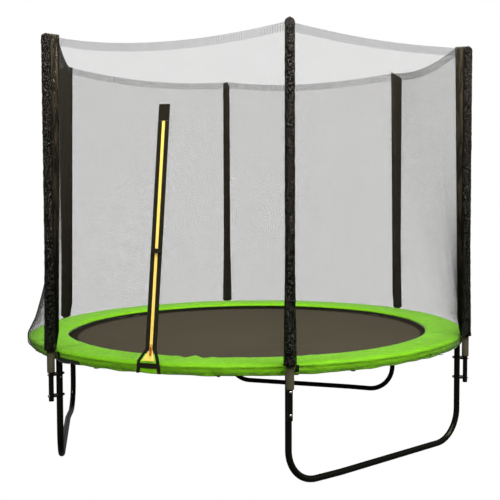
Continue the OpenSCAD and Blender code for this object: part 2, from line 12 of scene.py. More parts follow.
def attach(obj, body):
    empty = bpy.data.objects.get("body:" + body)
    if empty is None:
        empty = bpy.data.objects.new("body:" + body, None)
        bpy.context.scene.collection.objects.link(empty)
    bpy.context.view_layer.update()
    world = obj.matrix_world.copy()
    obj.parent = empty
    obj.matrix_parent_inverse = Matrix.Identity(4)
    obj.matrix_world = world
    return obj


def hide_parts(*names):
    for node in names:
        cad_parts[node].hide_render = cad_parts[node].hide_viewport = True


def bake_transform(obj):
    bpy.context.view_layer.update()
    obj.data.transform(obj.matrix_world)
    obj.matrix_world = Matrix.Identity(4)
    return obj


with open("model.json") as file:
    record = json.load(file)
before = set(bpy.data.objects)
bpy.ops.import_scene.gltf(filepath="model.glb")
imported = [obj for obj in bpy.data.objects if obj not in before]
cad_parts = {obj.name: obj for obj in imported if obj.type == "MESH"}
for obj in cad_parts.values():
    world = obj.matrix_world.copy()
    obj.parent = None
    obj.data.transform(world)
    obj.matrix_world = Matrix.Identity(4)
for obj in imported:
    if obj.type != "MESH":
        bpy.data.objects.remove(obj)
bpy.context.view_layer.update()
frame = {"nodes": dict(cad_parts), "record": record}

bl_info = {
    "name": "Garden trampoline",
    "version": (1, 0, 0),
    "blender": (4, 5, 0),
    "location": "View3D > Sidebar > Trampoline",
    "description": "Builds the soft parts, springs, finishes and stage of a trampoline",
    "category": "Object",
}

# Sizes of the CAD frame, in metres
RING_R, RING_Z, TUBE_R = 1.220, 0.5517, 0.016
POLE_R, FOAM_R, FOAM_BORE, POLE_TOP = 1.2648, 0.019, 0.0129, 2.128
FOAM_LOW, SLEEVE_TOP = 0.474, 2.150
MAT_R, HEM_R, RING_BAR_R, APEX_R = 1.000, 1.040, 1.048, 1.078
PAD_IN, PAD_OUT, PAD_LOW, PAD_TOP = 1.022, 1.2386, 0.568, 0.5905
SKIRT_Z, SLEEVE_LOW = PAD_TOP - 0.0545, PAD_TOP - 0.0035
NET_R, FLARE_Z, NET_TOP, BAND_W, SAG = 1.2408, PAD_TOP + 0.0035, 2.144, 0.040, 0.040
ZIP_TOP, ZIP_LOW, ZIP_W, TAPE_W, SLIT = 1.788, 0.648, 0.048, 0.018, 0.0034
ZIP_AZ, ZIP_TOP_R, ZIP_RUN = 240.0, 1.036636, 1.494
ZIP_TILT = math.atan((NET_R - ZIP_TOP_R) / ZIP_RUN)
SPRINGS, COIL_R = 48, 0.010
# Net: its foot, the seams between its panels, how fast they flare over the pad, and how
# fast the plan goes from round at the foot to straight at the top
NET_FOOT, EDGE_OFF = SKIRT_Z + 0.0143, 0.0024
SEAM_LOW_R, SEAM_LOW_Z, SEAM_TOP_R, SEAM_TOP_Z = 1.226, FLARE_Z + 0.082, 1.201, NET_TOP + 0.012
FLARE_SLOPE, ROUND_POWER = 0.18, 2.2
# Zip: length along its slope, patch over its end, bar and strap across it, webbing and tape
# (their two faces), and the opening's spread and sideways pull towards its foot
ZIP_END, PATCH_LEN = (ZIP_TOP - FLARE_Z) / cos(ZIP_TILT), 0.080
ZIP_BAR, ZIP_STRAP, STRAP_RISE = FLARE_Z - 0.036, 0.51, 0.0092
STRIP_LAP, STRIP_W, STRIP_LOW_W, STRIP = 0.0045, 0.0215, 0.016, (0.0011, -0.0011)
TAPE, TOOTH, BRIDGE = (0.0005, -0.0005), (0.0010, -0.0010), (0.0016, 0.0)
TOOTH_PITCH, TOOTH_HALF = 0.0026, 0.0011
ZIP_SPREAD, SKIRT_SPREAD, FOOT_PULL = 0.52, 0.1, 0.22
# Soft unevenness: raised tops of four sleeves, the net's upper edge with them (azimuth,
# height, reach in degrees) and between them, a bulge of pad and net, ripples in the pad's
# inner edge, and the stretch of skirt that is turned up
SLEEVE_PEAKS, PEAK_REACH = {1: 0.007, 2: 0.013, 3: 0.030, 4: 0.018}, 0.09
EDGE_LIFTS = (
    (30, 0.019, 35),
    (90, 0.006, 35),
    (-30, 0.009, 25),
    (-90, 0.003, 20),
    (210, -0.010, 20),
)
PANEL_LIFTS = {1: 0.0215, 6: -0.0165}
BULGE, BULGE_AZ, BULGE_REACH, BULGE_TOP = 0.022, 182.0, 13, 0.35
RIPPLE, RIPPLE_AZ, RIPPLE_REACH, RIPPLES = 0.006, 247.0, 5, 70
TUCK_FROM, TUCK_TO = 210.5, 221.0
# The mat's band reaches under the V-rings to the first size, a dark sheet that stands in for
# the shade below the pad. The pad's dark underside colour, also painted shade on its hanging
# lip and turned-up skirt, lies the third size further along in U than its cover, and shows
# past the fourth
SHADE_APRON_R, LOOP_HALF, UNDERSIDE_SHADE_U, UNDERSIDE_SHADE_FROM = 1.068, 0.012, 50.0, 20.0
# A sleeve's points around it: the flange's rows on both sides of the steps of tube
FOLD_ROWS, TUBE_STEPS, SLEEVE_STEP, SLEEVE_ROOM = 9, 28, 0.006, 0.0022
SLEEVE_R, SLEEVE_OPEN, FLANGE_HALF, SLEEVE_LOOSE = 0.0226, radians(12), 0.0017, 0.0085
FLANGE_W = SLEEVE_STEP * (FOLD_ROWS - 0.5)
SLEEVE_MID = SLEEVE_STEP * (FOLD_ROWS + TUBE_STEPS / 2)
# Camera: its place, its yaw, pitch and roll in degrees, its lens and its shift
CAMERA_AT, CAMERA_TURN = (-0.736, -5.270, 1.377), (12.309, -3.113, 0.056)
LENS, SENSOR, SHIFT = 64.92, 36.0, (-0.1396, -0.019)
TAU = 2 * math.pi
WARM, WARM_WHITE = (1.0, 0.86, 0.6, 1.0), (1.0, 0.92, 0.8, 1.0)
MATS, GROUPS = {}, {}
PATTERNS = {"Grain": ("Scale", "Tone"), "Weave": ("Pitch", "Contrast")}


def pole_az(k):
    """Azimuth of pole k, from 1 at the front, anticlockwise."""
    return -90 + 60 * (k - 1)


def spring_az(i):
    """Azimuth of spring i, from 0."""
    return -90 + (i + 0.5) * 360 / SPRINGS


def wobble(x, y, z, seed=0.0):
    """Smooth noise from -1 to 1, the same on every run."""
    return noise.noise(Vector((x + 13.7 * seed, y - 7.1 * seed, z + 3.3 * seed)))


def around(count):
    """Even steps of a full turn: each angle with its cosine and sine."""
    for i in range(count):
        a = TAU * i / count
        yield a, cos(a), sin(a)


def turned(p, degrees):
    """The point p turned about the trampoline's axis."""
    a = radians(degrees)
    c, s = cos(a), sin(a)
    return (p[0] * c - p[1] * s, p[0] * s + p[1] * c, p[2])


# ---- net form


def seam_r(z):
    """Radius of the seams between the net's panels."""
    slope = (SEAM_LOW_R - SEAM_TOP_R) / (SEAM_TOP_Z - SEAM_LOW_Z)
    flare = NET_R - (z - FLARE_Z) * FLARE_SLOPE
    return min(NET_R, max(flare, SEAM_LOW_R - (z - SEAM_LOW_Z) * slope))


def half_angle(z):
    """Half the angle that a panel spans."""
    return radians(30) - math.asin(EDGE_OFF / seam_r(z))


def half_w(z):
    """Half the straight width of a panel."""
    return seam_r(z) * sin(half_angle(z))


def round_share(z):
    """How round a panel is in plan: 1 is an arc, 0 a straight line."""
    if z <= FLARE_Z:
        return 1.0
    return max(0.0, 1 - (z - FLARE_Z) / (NET_TOP - FLARE_Z)) ** ROUND_POWER


def zip_share(z):
    """The same for the panel with the zip, whose middle is one straight slope."""
    r = NET_R if z <= FLARE_Z else NET_R - (z - FLARE_Z) * math.tan(ZIP_TILT)
    c = cos(half_angle(z))
    return (r / seam_r(z) - c) / (1 - c)


def panel_x(y, z, share):
    """Distance of a panel's point from the axis, along the panel's own azimuth."""
    r = seam_r(z)
    flat = r * cos(half_angle(z))
    return (1 - share) * flat + share * math.sqrt(max(0.0, r * r - y * y))


def gap_half(z):
    """Half the width of the zip's opening in the net."""
    w = ZIP_W / 2 + 0.0006
    w += max(0.0, ZIP_LOW - max(z, FLARE_Z)) * ZIP_SPREAD
    return w + max(0.0, FLARE_Z - z) * SKIRT_SPREAD


def bulge(az):
    """How far pad and net stand out beside the pole at 210 degrees."""
    return BULGE * math.exp(-(((az - BULGE_AZ) / BULGE_REACH) ** 2))


def edge_lift(az, t, k):
    """How far the net's upper edge lies off its even curve, at t along panel k."""
    lift = PANEL_LIFTS.get(k, 0.0) * (1 - t * t) * (1 - 0.35 * t if k == 6 else 1.0)
    for mid, height, reach in EDGE_LIFTS:
        off = (az + 30 * t - mid + 180) % 360 - 180
        lift += height * math.exp(-((off / reach) ** 2))
    return lift


def zip_mid(z):
    """The opening's foot is pulled a little to one side."""
    return -FOOT_PULL * max(0.0, ZIP_LOW - max(z, FLARE_Z))


def edge_z(t):
    """Height of the net's upper edge under its band, t from -1 to 1 along a panel."""
    return NET_TOP - BAND_W - 0.0003 - SAG * (1 - t * t)


def out_by(p, d):
    """The point d further out from the trampoline's axis."""
    n = math.hypot(p[0], p[1])
    return (p[0] * (1 + d / n), p[1] * (1 + d / n), p[2])


def zip_point(x, y, s):
    """A point of the zip's own frame in the row frame: x out of the net, s up the zip."""
    c, n = cos(ZIP_TILT), sin(ZIP_TILT)
    return turned((NET_R + x * c - s * n, y, FLARE_Z + x * n + s * c), ZIP_AZ)


# ---- mesh tools


def new_mesh(name, verts, faces, mat, smooth=True, uvs=None):
    """A mesh object in the scene, with one material and one UV point for each vertex."""
    me = bpy.data.meshes.new(name)
    me.from_pydata([Vector(v) for v in verts], [], faces)
    me.materials.append(mat)
    if uvs:
        layer = me.uv_layers.new(name="UVMap")
        for loop in me.loops:
            layer.data[loop.index].uv = uvs[loop.vertex_index]
    if smooth:
        me.polygons.foreach_set("use_smooth", [True] * len(me.polygons))
    me.validate()
    me.update()
    obj = bpy.data.objects.new(name, me)
    bpy.context.scene.collection.objects.link(obj)
    return obj


def piece(name, verts, faces, uvs, slot, cad_node=None, body="frame", thick=None, smooth=True):
    """A mesh in its slot's material, riding on a body, in place of a CAD node."""
    obj = new_mesh(name, verts, faces, MATS[slot], smooth, uvs)
    if thick:
        mod = obj.modifiers.new("Thickness", "SOLIDIFY")
        mod.thickness, mod.offset = thick
        mod.use_even_offset = False
    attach(obj, body)
    if cad_node:
        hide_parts(cad_node)
    return obj


def grid_faces(nu, nv, wrap_u=False, wrap_v=False, keep=None, start=0):
    """Quads of a grid with nu columns and nv rows of points, row after row."""
    faces = []
    for j in range(nv if wrap_v else nv - 1):
        for i in range(nu if wrap_u else nu - 1):
            if keep and not keep(i, j):
                continue
            a, b = j * nu + i, j * nu + (i + 1) % nu
            k = (j + 1) % nv
            faces.append((start + a, start + b, start + k * nu + (i + 1) % nu, start + k * nu + i))
    return faces


def strip_solid(outer, inner, verts, faces):
    """Adds a closed strip between two faces, each a row of paired edge points."""
    base, n = len(verts), len(outer)
    verts += outer + inner
    for a in range(base, base + n - 2, 2):
        b, c, d = a + 1, a + 3, a + 2
        faces += [(a, b, c, d), (n + a, n + d, n + c, n + b)]
        faces += [(b, n + b, n + c, c), (a, d, n + d, n + a)]
    for a, b in ((base, base + 1), (base + n - 1, base + n - 2)):
        faces.append((a, n + a, n + b, b))


def net_strip(line, verts, faces):
    """Adds a strip of webbing along paired points on the panel with the zip."""
    rows = [[turned(out_by(p, d), ZIP_AZ) for p in line] for d in STRIP]
    strip_solid(*rows, verts, faces)


def zip_strip(line, depths, verts, faces):
    """Adds a strip along paired points of the zip's own frame."""
    rows = [[zip_point(x + d, y, s) for x, y, s in line] for d in depths]
    strip_solid(*rows, verts, faces)


def sweep(path, radius, sides):
    """A round tube along the path, with flat ends, as vertices and faces."""
    pts = [Vector(p) for p in path]
    verts, normal = [], None
    for i, p in enumerate(pts):
        tangent = (pts[min(i + 1, len(pts) - 1)] - pts[max(i - 1, 0)]).normalized()
        if normal is None:
            normal = tangent.orthogonal().normalized()
        normal = (normal - tangent * normal.dot(tangent)).normalized()
        side = tangent.cross(normal)
        for _, ca, sa in around(sides):
            verts.append(tuple(p + (normal * ca + side * sa) * radius))
    faces = grid_faces(sides, len(pts), wrap_u=True)
    faces.append(tuple(reversed(range(sides))))
    faces.append(tuple(range(len(verts) - sides, len(verts))))
    return verts, faces


# ---- materials


def group(name, inputs, outputs):
    """A shader node group with its named sockets: its tree, what it is given, what it gives."""
    GROUPS[name] = tree = bpy.data.node_groups.new(name, "ShaderNodeTree")
    for in_out, titles in (("INPUT", inputs), ("OUTPUT", outputs)):
        for title in titles:
            kind = "NodeSocketColor" if title == "Colour" else "NodeSocketFloat"
            tree.interface.new_socket(title, in_out=in_out, socket_type=kind)
    given, gives = tree.nodes.new("NodeGroupInput"), tree.nodes.new("NodeGroupOutput")
    return tree, given.outputs, gives.inputs


def node(tree, kind, values=None, **settings):
    """A new shader node with its inputs' values and its settings."""
    made = tree.nodes.new("ShaderNode" + kind)
    for key, value in settings.items():
        setattr(made, key, value)
    for key, value in (values or {}).items():
        made.inputs[key].default_value = value
    return made


def calculator(tree):
    """A function that adds one Math node to the tree and returns its output."""

    def calc(operation, *values, clamp=False):
        made = node(tree, "Math", operation=operation, use_clamp=clamp)
        for socket, value in zip(made.inputs, values):
            if isinstance(value, (int, float)):
                socket.default_value = value
            else:
                tree.links.new(value, socket)
        return made.outputs[0]

    return calc


def axes(tree, space):
    """The X, Y and Z outputs of the texture coordinates in the space named."""
    split = node(tree, "SeparateXYZ")
    tree.links.new(node(tree, "TexCoord").outputs[space], split.inputs[0])
    return split.outputs


def scaled(tree, colour, factor):
    """The colour times the factor."""
    made = node(tree, "VectorMath", operation="SCALE")
    tree.links.new(colour, made.inputs[0])
    tree.links.new(factor, made.inputs["Scale"])
    return made.outputs["Vector"]


def mixed(tree, factor, first, second):
    """The first colour where the factor is 0 and the second where it is 1."""
    made = node(tree, "Mix", data_type="RGBA")
    tree.links.new(factor, made.inputs["Factor"])
    for value, socket in ((first, made.inputs[6]), (second, made.inputs[7])):
        if isinstance(value, tuple):
            socket.default_value = value
        else:
            tree.links.new(value, socket)
    return made.outputs[2]


def make_grain_group():
    """Two sizes of noise: a tone that shifts the colour a little and a height for bumps."""
    tree, given, gives = group("Grain", ("Colour", "Scale", "Tone"), ("Colour", "Height"))
    calc, link = calculator(tree), tree.links.new
    coord = node(tree, "TexCoord")
    fine = node(tree, "TexNoise", {"Detail": 5.0, "Roughness": 0.6})
    wide = node(tree, "TexNoise", {"Scale": 3.0, "Detail": 3.0})
    for tex in (fine, wide):
        link(coord.outputs["Object"], tex.inputs["Vector"])
    link(given["Scale"], fine.inputs["Scale"])
    both = calc("ADD", fine.outputs["Fac"], wide.outputs["Fac"])
    shift = calc("MULTIPLY", calc("SUBTRACT", both, 1.0), given["Tone"])
    link(scaled(tree, given["Colour"], calc("ADD", shift, 1.0)), gives["Colour"])
    link(fine.outputs["Fac"], gives["Height"])


def make_weave_group():
    """Plain weave from two crossing sine ridges in the piece's UV space, in metres."""
    tree, given, gives = group("Weave", ("Colour", "Pitch", "Contrast"), ("Colour", "Height"))
    calc, place, link = calculator(tree), axes(tree, "UV"), tree.links.new
    waves = []
    for axis in ("X", "Y"):
        turns = calc("DIVIDE", place[axis], given["Pitch"])
        waves.append(calc("SINE", calc("MULTIPLY", turns, TAU)))
    height = calc("MULTIPLY", calc("ADD", calc("MULTIPLY", *waves), 1.0), 0.5)
    tone = calc("MULTIPLY", calc("SUBTRACT", height, 0.5), given["Contrast"])
    link(scaled(tree, given["Colour"], calc("ADD", tone, 1.0)), gives["Colour"])
    link(height, gives["Height"])


def make_crinkle_group():
    """Sharp folds of thin coated cloth, stretched by Stretch along Z."""
    tree, given, gives = group("Crinkle", ("Scale", "Stretch"), ("Height",))
    calc, link = calculator(tree), tree.links.new
    coord = node(tree, "TexCoord")
    mapping = node(tree, "CombineXYZ", {"X": 1.0, "Y": 1.0})
    link(given["Stretch"], mapping.inputs["Z"])
    drawn = node(tree, "VectorMath", operation="MULTIPLY")
    link(coord.outputs["Object"], drawn.inputs[0])
    link(mapping.outputs[0], drawn.inputs[1])
    folds = node(tree, "TexNoise", {"Detail": 1.6, "Roughness": 0.5, "Distortion": 0.6})
    link(drawn.outputs["Vector"], folds.inputs["Vector"])
    link(given["Scale"], folds.inputs["Scale"])
    ridge = calc("ABSOLUTE", calc("SUBTRACT", folds.outputs["Fac"], 0.5))
    link(calc("MULTIPLY", ridge, 3.0, clamp=True), gives["Height"])


def make_knit_group():
    """Knitted net in UV metres, 1 on the yarn and 0 in the holes.

    Every second row of loops has a heavier upright thread.
    """
    tree, given, gives = group("Knit", ("Pitch", "Yarn", "Upright"), ("Cover",))
    calc, place = calculator(tree), axes(tree, "UV")
    rows, cols = (calc("DIVIDE", place[axis], given["Pitch"]) for axis in ("Y", "X"))
    half = calc("MULTIPLY", given["Yarn"], 0.5)
    upright = calc("MULTIPLY", given["Yarn"], given["Upright"])
    bars = []
    for across, width in (
        (calc("ADD", rows, cols), half),
        (calc("SUBTRACT", rows, cols), half),
        (calc("MULTIPLY", cols, 0.5), upright),
    ):
        away = calc("ABSOLUTE", calc("SUBTRACT", calc("FRACT", across), 0.5))
        bars.append(calc("LESS_THAN", away, width))
    cover = calc("MAXIMUM", calc("MAXIMUM", bars[0], bars[1]), bars[2])
    tree.links.new(cover, gives["Cover"])


def principled(name, colour, roughness, **more):
    """Adds a material to MATS; returns its node tree and its shader."""
    MATS[name] = mat = bpy.data.materials.new(name)
    mat.use_nodes = True
    bsdf = mat.node_tree.nodes["Principled BSDF"]
    values = {"Base Color": (*colour, 1), "Roughness": roughness}
    values.update((key.replace("_", " "), value) for key, value in more.items())
    for key, value in values.items():
        bsdf.inputs[key].default_value = value
    return mat.node_tree, bsdf


def add_group(tree, name, **values):
    """The outputs of a new node that uses one of the groups."""
    return node(tree, "Group", values, node_tree=GROUPS[name]).outputs


def bump(tree, bsdf, height, distance):
    """Gives the shader a bump of the height's output."""
    made = node(tree, "Bump", {"Distance": distance, "Strength": 1.0})
    tree.links.new(height, made.inputs["Height"])
    tree.links.new(made.outputs["Normal"], bsdf.inputs["Normal"])


def patterned(pattern, name, colour, roughness, first, second, depth, **more):
    """A finish whose colour and bump both come from the Grain or the Weave group."""
    tree, bsdf = principled(name, colour, roughness, **more)
    values = {"Colour": (*colour, 1), **dict(zip(PATTERNS[pattern], (first, second)))}
    made = add_group(tree, pattern, **values)
    tree.links.new(made["Colour"], bsdf.inputs["Base Color"])
    bump(tree, bsdf, made["Height"], depth)


def build_materials(c):
    make_grain_group()
    make_weave_group()
    make_crinkle_group()
    make_knit_group()
    steel_shine = {"Specular_IOR_Level": 0.14, "Specular_Tint": WARM}
    webbing_shine = {"Specular_IOR_Level": 0.15, "Specular_Tint": WARM}
    # Pattern, name, colour, roughness, the pattern's two values, depth and other inputs
    for *look, more in (
        ("Grain", "frame_steel", c.steel, 0.16, 30.0, 0.3, 0.00004, steel_shine),
        ("Grain", "black_plastic", (0.008, 0.008, 0.007), 0.45, 200.0, 0.2, 0.00004, {}),
        ("Grain", "bright_steel", (0.42, 0.42, 0.43), 0.3, 260.0, 0.15, 0.00003, {"Metallic": 1.0}),
        ("Grain", "spring_steel", (0.6, 0.61, 0.63), 0.33, 220.0, 0.2, 0.00003, {"Metallic": 1.0}),
        ("Grain", "grey_foam", c.foam, 0.9, 160.0, 0.25, 0.0006, {}),
        ("Grain", "pull_tab", (0.42, 0.1, 0.012), 0.35, 120.0, 0.15, 0.0001, {"Metallic": 0.3}),
        ("Grain", "slider_enamel", (0.62, 0.38, 0.06), 0.3, 120.0, 0.15, 0.0001, {"Metallic": 0.4}),
        ("Weave", "mat_weave", c.mat, 0.95, 0.0034, 0.35, 0.0004, {"Specular_IOR_Level": 0.12}),
        ("Weave", "black_webbing", (0.008, 0.007, 0.004), 0.85, 0.002, 0.5, 0.0003, webbing_shine),
        ("Weave", "yellow_tape", c.zip, 0.65, 0.0022, 0.35, 0.0003, {}),
    ):
        patterned(*look, **more)
    pad_material(c.pad)
    sleeve_material(c.sleeve, c.flange)
    # Name, colour, yarn, pitch and upright thread of the net
    for name, hue, yarn, pitch, upright in (
        ("grey_mesh", c.net, 0.125, 0.0048, 0.1),
        ("grey_hem", c.band, 0.125, 0.0065, 0.16),
    ):
        tree, bsdf = principled(name, hue, 0.8, Specular_IOR_Level=0.1)
        calc = calculator(tree)
        # Round yarn closes the holes where the net is seen at a slant
        slant = node(tree, "LayerWeight", {"Blend": 0.5}).outputs["Facing"]
        values = {"Pitch": pitch, "Upright": upright}
        knit = node(tree, "Group", values, node_tree=GROUPS["Knit"])
        tree.links.new(calc("ADD", calc("POWER", slant, 8.0), yarn), knit.inputs["Yarn"])
        tree.links.new(knit.outputs["Cover"], bsdf.inputs["Alpha"])


def pad_material(colour):
    """Coated cloth with shallow creases, and a dark underside colour: the real underside, and
    painted shade on the hanging inner lip and the turned-up skirt.
    """
    tree, bsdf = principled(
        "green_pad", colour, 0.5, Specular_IOR_Level=0.12, Sheen_Weight=0.24, Sheen_Roughness=0.35
    )
    grain = add_group(tree, "Grain", Colour=(*colour, 1), Scale=6.0, Tone=0.12)
    # The dark underside colour is also painted shade where the inner lip hangs and where the skirt
    # is turned up
    underside_and_shade_mask = calculator(tree)("GREATER_THAN", axes(tree, "UV")["X"], UNDERSIDE_SHADE_FROM)
    tone = mixed(tree, underside_and_shade_mask, grain["Colour"], (0.006, 0.022, 0.004, 1.0))
    tree.links.new(tone, bsdf.inputs["Base Color"])
    bump(tree, bsdf, add_group(tree, "Crinkle", Scale=9.0, Stretch=1.0)["Height"], 0.006)


def sleeve_material(colour, flange_colour):
    """Thin coated cloth, finely crinkled, with long folds in the flange; its colour holds painted
    light, lighter towards the top and darker towards the bottom, and painted shade and light along
    the flange's folds.
    """
    tree, bsdf = principled(
        "sleeve_fabric", colour, 0.09, Specular_IOR_Level=0.16, Specular_Tint=WARM_WHITE
    )
    calc = calculator(tree)
    aside = calc("ABSOLUTE", calc("SUBTRACT", axes(tree, "UV")["X"], SLEEVE_MID))
    flange = calc("GREATER_THAN", aside, SLEEVE_MID - FLANGE_W)
    tones = [
        add_group(tree, "Grain", Colour=(*hue, 1), Scale=60.0, Tone=0.8)["Colour"]
        for hue in (colour, flange_colour)
    ]
    # Painted light: the colour grows lighter towards the top and darker towards the bottom, as if
    # lit from above
    limits = {"From Min": 0.7, "From Max": 2.1, "To Min": 0.1, "To Max": 3.0}
    height_light_ramp = node(tree, "MapRange", limits)
    tree.links.new(axes(tree, "Object")["Z"], height_light_ramp.inputs["Value"])
    part = calc("ADD", 0.34, calc("MULTIPLY", flange, 0.15))
    painted_top_light = calc("MULTIPLY", height_light_ramp.outputs["Result"], part)
    # Painted shade and light: long folds darken and lighten the flange's colour
    folds, fine, long = (
        add_group(tree, "Crinkle", Scale=scale, Stretch=stretch)["Height"]
        for scale, stretch in ((38.0, 0.12), (70.0, 0.8), (70.0, 0.1))
    )
    shade = calc("SUBTRACT", calc("MULTIPLY", folds, 2.2), 0.7)
    shade = calc("MAXIMUM", calc("ADD", calc("MULTIPLY", shade, flange), 1.0), 0.15)
    tone = scaled(tree, mixed(tree, flange, *tones), calc("MULTIPLY", painted_top_light, shade))
    tree.links.new(tone, bsdf.inputs["Base Color"])
    fine = calc("MULTIPLY", fine, calc("SUBTRACT", 1.0, flange))
    long = calc("MULTIPLY", long, calc("MULTIPLY", flange, 0.6))
    bump(tree, bsdf, calc("ADD", fine, long), 0.012)


# ---- properties


def colour(name, default, description):
    return FloatVectorProperty(
        name=name, description=description, subtype="COLOR", size=3, min=0, max=1, default=default
    )


def size(name, default, description, low=0.0, high=0.05):
    return FloatProperty(
        name=name, description=description, default=default, min=low, max=high, unit="LENGTH"
    )


class TRAMPOLINE_PG_sizes(bpy.types.PropertyGroup):
    pad_wave: size("Pad wave", 0.0032, "Height of the soft waves on the pad")
    skirt_wave: size("Skirt wave", 0.0016, "Depth of the folds in the pad's skirt")
    net_wave: size("Net wave", 0.003, "Depth of the net's slack folds")
    sleeve_wave: size("Sleeve wave", 0.0022, "Depth of the sleeves' gathers")
    wire: size("Spring wire", 0.0034, "Diameter of the spring wire", 0.002, 0.005)
    turns: IntProperty(
        name="Turns", description="Turns of each spring coil", default=27, min=8, max=40
    )


class TRAMPOLINE_PG_colours(bpy.types.PropertyGroup):
    steel: colour("Steel", (0.004, 0.004, 0.003), "Powder coat of the legs and rails")
    pad: colour("Pad", (0.175, 0.50, 0.004), "Cloth of the spring pad")
    mat: colour("Mat", (0.052, 0.044, 0.028), "Woven jumping mat")
    net: colour("Net", (0.018, 0.015, 0.010), "Yarn of the safety net")
    band: colour("Band", (0.03, 0.03, 0.03), "Yarn of the band along the net's upper edge")
    sleeve: colour("Sleeve", (0.006, 0.005, 0.0032), "Cloth of the pole sleeves")
    flange: colour("Flange", (0.024, 0.0197, 0.0125), "Cloth of the sleeves' sewn flange")
    foam: colour("Foam", (0.052, 0.045, 0.02), "Foam tubes on the poles")
    zip: colour("Zip", (0.86, 0.62, 0.1), "Zip tape and gusset")


# ---- operators


class Builder:
    """What every operator here shares."""

    bl_options = {"REGISTER", "UNDO"}

    def execute(self, context):
        self.build(context.scene.trampoline_sizes)
        return {"FINISHED"}


class TRAMPOLINE_OT_finishes(Builder, bpy.types.Operator):
    """Give every CAD part that stays visible its material"""

    bl_idname = "trampoline.finishes"
    bl_label = "Finishes"

    def build(self, s):
        build_materials(bpy.context.scene.trampoline_colours)
        slots = {r["node"]: r["material_slot"] for r in frame["record"]["subparts"]}
        for name, obj in frame["nodes"].items():
            mat = MATS["slider_enamel" if name == "zip_slider" else slots[name]]
            obj.data.materials.clear()
            obj.data.materials.append(mat)
            obj.data.polygons.foreach_set("material_index", [0] * len(obj.data.polygons))


class TRAMPOLINE_OT_mat(Builder, bpy.types.Operator):
    """Add the woven mat with its sewn edge band"""

    bl_idname = "trampoline.mat"
    bl_label = "Mat"

    def build(self, s):
        rings, seg = 40, 192
        verts, uvs = [], []
        for j in range(rings):
            r = MAT_R * (j + 0.02) / (rings - 0.98)
            for _, ca, sa in around(seg):
                verts.append((r * ca, r * sa, RING_Z + 0.0006))
                uvs.append(verts[-1][:2])
        faces = grid_faces(seg, rings, wrap_u=True) + [tuple(range(seg))]
        sheet = piece("mat_sheet", verts, faces, uvs, "mat_weave", "mat", "mat", (0.0014, 0.0))
        band = self.edge_band()

    def edge_band(self):
        """The band around the mat, a dark sheet from it under the V-rings that stands in for the
        shade below the pad, and a loop around the bar of every V-ring.
        """
        seg = 384
        top = [(MAT_R - 0.004, 0.0016), (MAT_R, 0.0021), (HEM_R - 0.002, 0.0021), (HEM_R, 0.001)]
        # A dark sheet under the V-rings, standing in for the shade below the pad
        shade_apron = [(HEM_R + 0.006, -0.0040), (SHADE_APRON_R, -0.0044), (SHADE_APRON_R, -0.0052)]
        shade_apron += [(HEM_R + 0.006, -0.0050), (HEM_R, -0.0030)]
        profile = top + shade_apron + [(r, -z) for r, z in reversed(top[:-1])]
        verts, uvs = [], []
        for a, ca, sa in around(seg):
            for r, z in profile:
                verts.append((r * ca, r * sa, RING_Z + z))
                uvs.append((r, a * HEM_R))
        faces = grid_faces(len(profile), seg, wrap_u=True, wrap_v=True)
        rad = 0.0034
        bend = [radians(t) for t in (45, 90, 135)]
        loop = [(HEM_R - 0.006, 0.0024), (RING_BAR_R, rad)]
        loop += [(RING_BAR_R + rad * sin(t), rad * cos(t)) for t in bend]
        loop += [(RING_BAR_R, -rad), (HEM_R - 0.006, -0.0024)]
        for i in range(SPRINGS):
            base = len(verts)
            for y in (-LOOP_HALF, LOOP_HALF):
                for r, z in loop:
                    verts.append(turned((r, y, RING_Z + z), spring_az(i)))
                    uvs.append((r + z, y))
            n = len(loop)
            faces += [(a, a + n, a + n + 1, a + 1) for a in range(base, base + n - 1)]
        return piece("mat_edge_band", verts, faces, uvs, "black_webbing", "mat_hem", "mat")


class TRAMPOLINE_OT_springs(Builder, bpy.types.Operator):
    """Add the wound springs with their hooks"""

    bl_idname = "trampoline.springs"
    bl_label = "Springs"

    def build(self, s):
        wire = s.wire / 2
        # Hook through the V-ring, coil with tapered ends, and the bent hook into the rail
        hook, hook_r, arc = APEX_R - 0.0018, 0.0058, 16
        path = []
        for i in range(arc + 1):
            a = radians(-330 + 300 * i / arc)
            path.append((hook + hook_r * cos(a), 0.0, hook_r * sin(a)))
        start, end = hook + 0.0115, RING_R - TUBE_R - 0.0145
        path += [(hook + 0.008, 0, -0.0008), (start - 0.001, 0, 0.0)]
        steps = s.turns * 10
        for i in range(steps + 1):
            t = i / steps
            a = TAU * s.turns * t
            rad = (COIL_R - wire) * min(1.0, 12 * t, 12 * (1 - t))
            path.append((start + (end - start) * t, rad * sin(a), rad * cos(a)))
        path += [(end + 0.003, 0, 0), (RING_R - 0.0105, 0, 0), (RING_R - 0.0085, 0, 0.0012)]
        path += [(RING_R - 0.008, 0, 0.0032), (RING_R - 0.008, 0, 0.0075)]
        verts, faces = sweep(path, wire * 0.97, 6)
        for i in range(SPRINGS):
            az = spring_az(i)
            placed = [turned((x, y, z + RING_Z), az) for x, y, z in verts]
            obj = new_mesh(f"spring_{i + 1:02d}", placed, faces, MATS["spring_steel"])
            turned((APEX_R + 0.006, 0, RING_Z), az)
            turned((RING_R - TUBE_R - 0.004, 0, RING_Z), az)
            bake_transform(obj)
            if i == 0:
                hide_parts("springs")


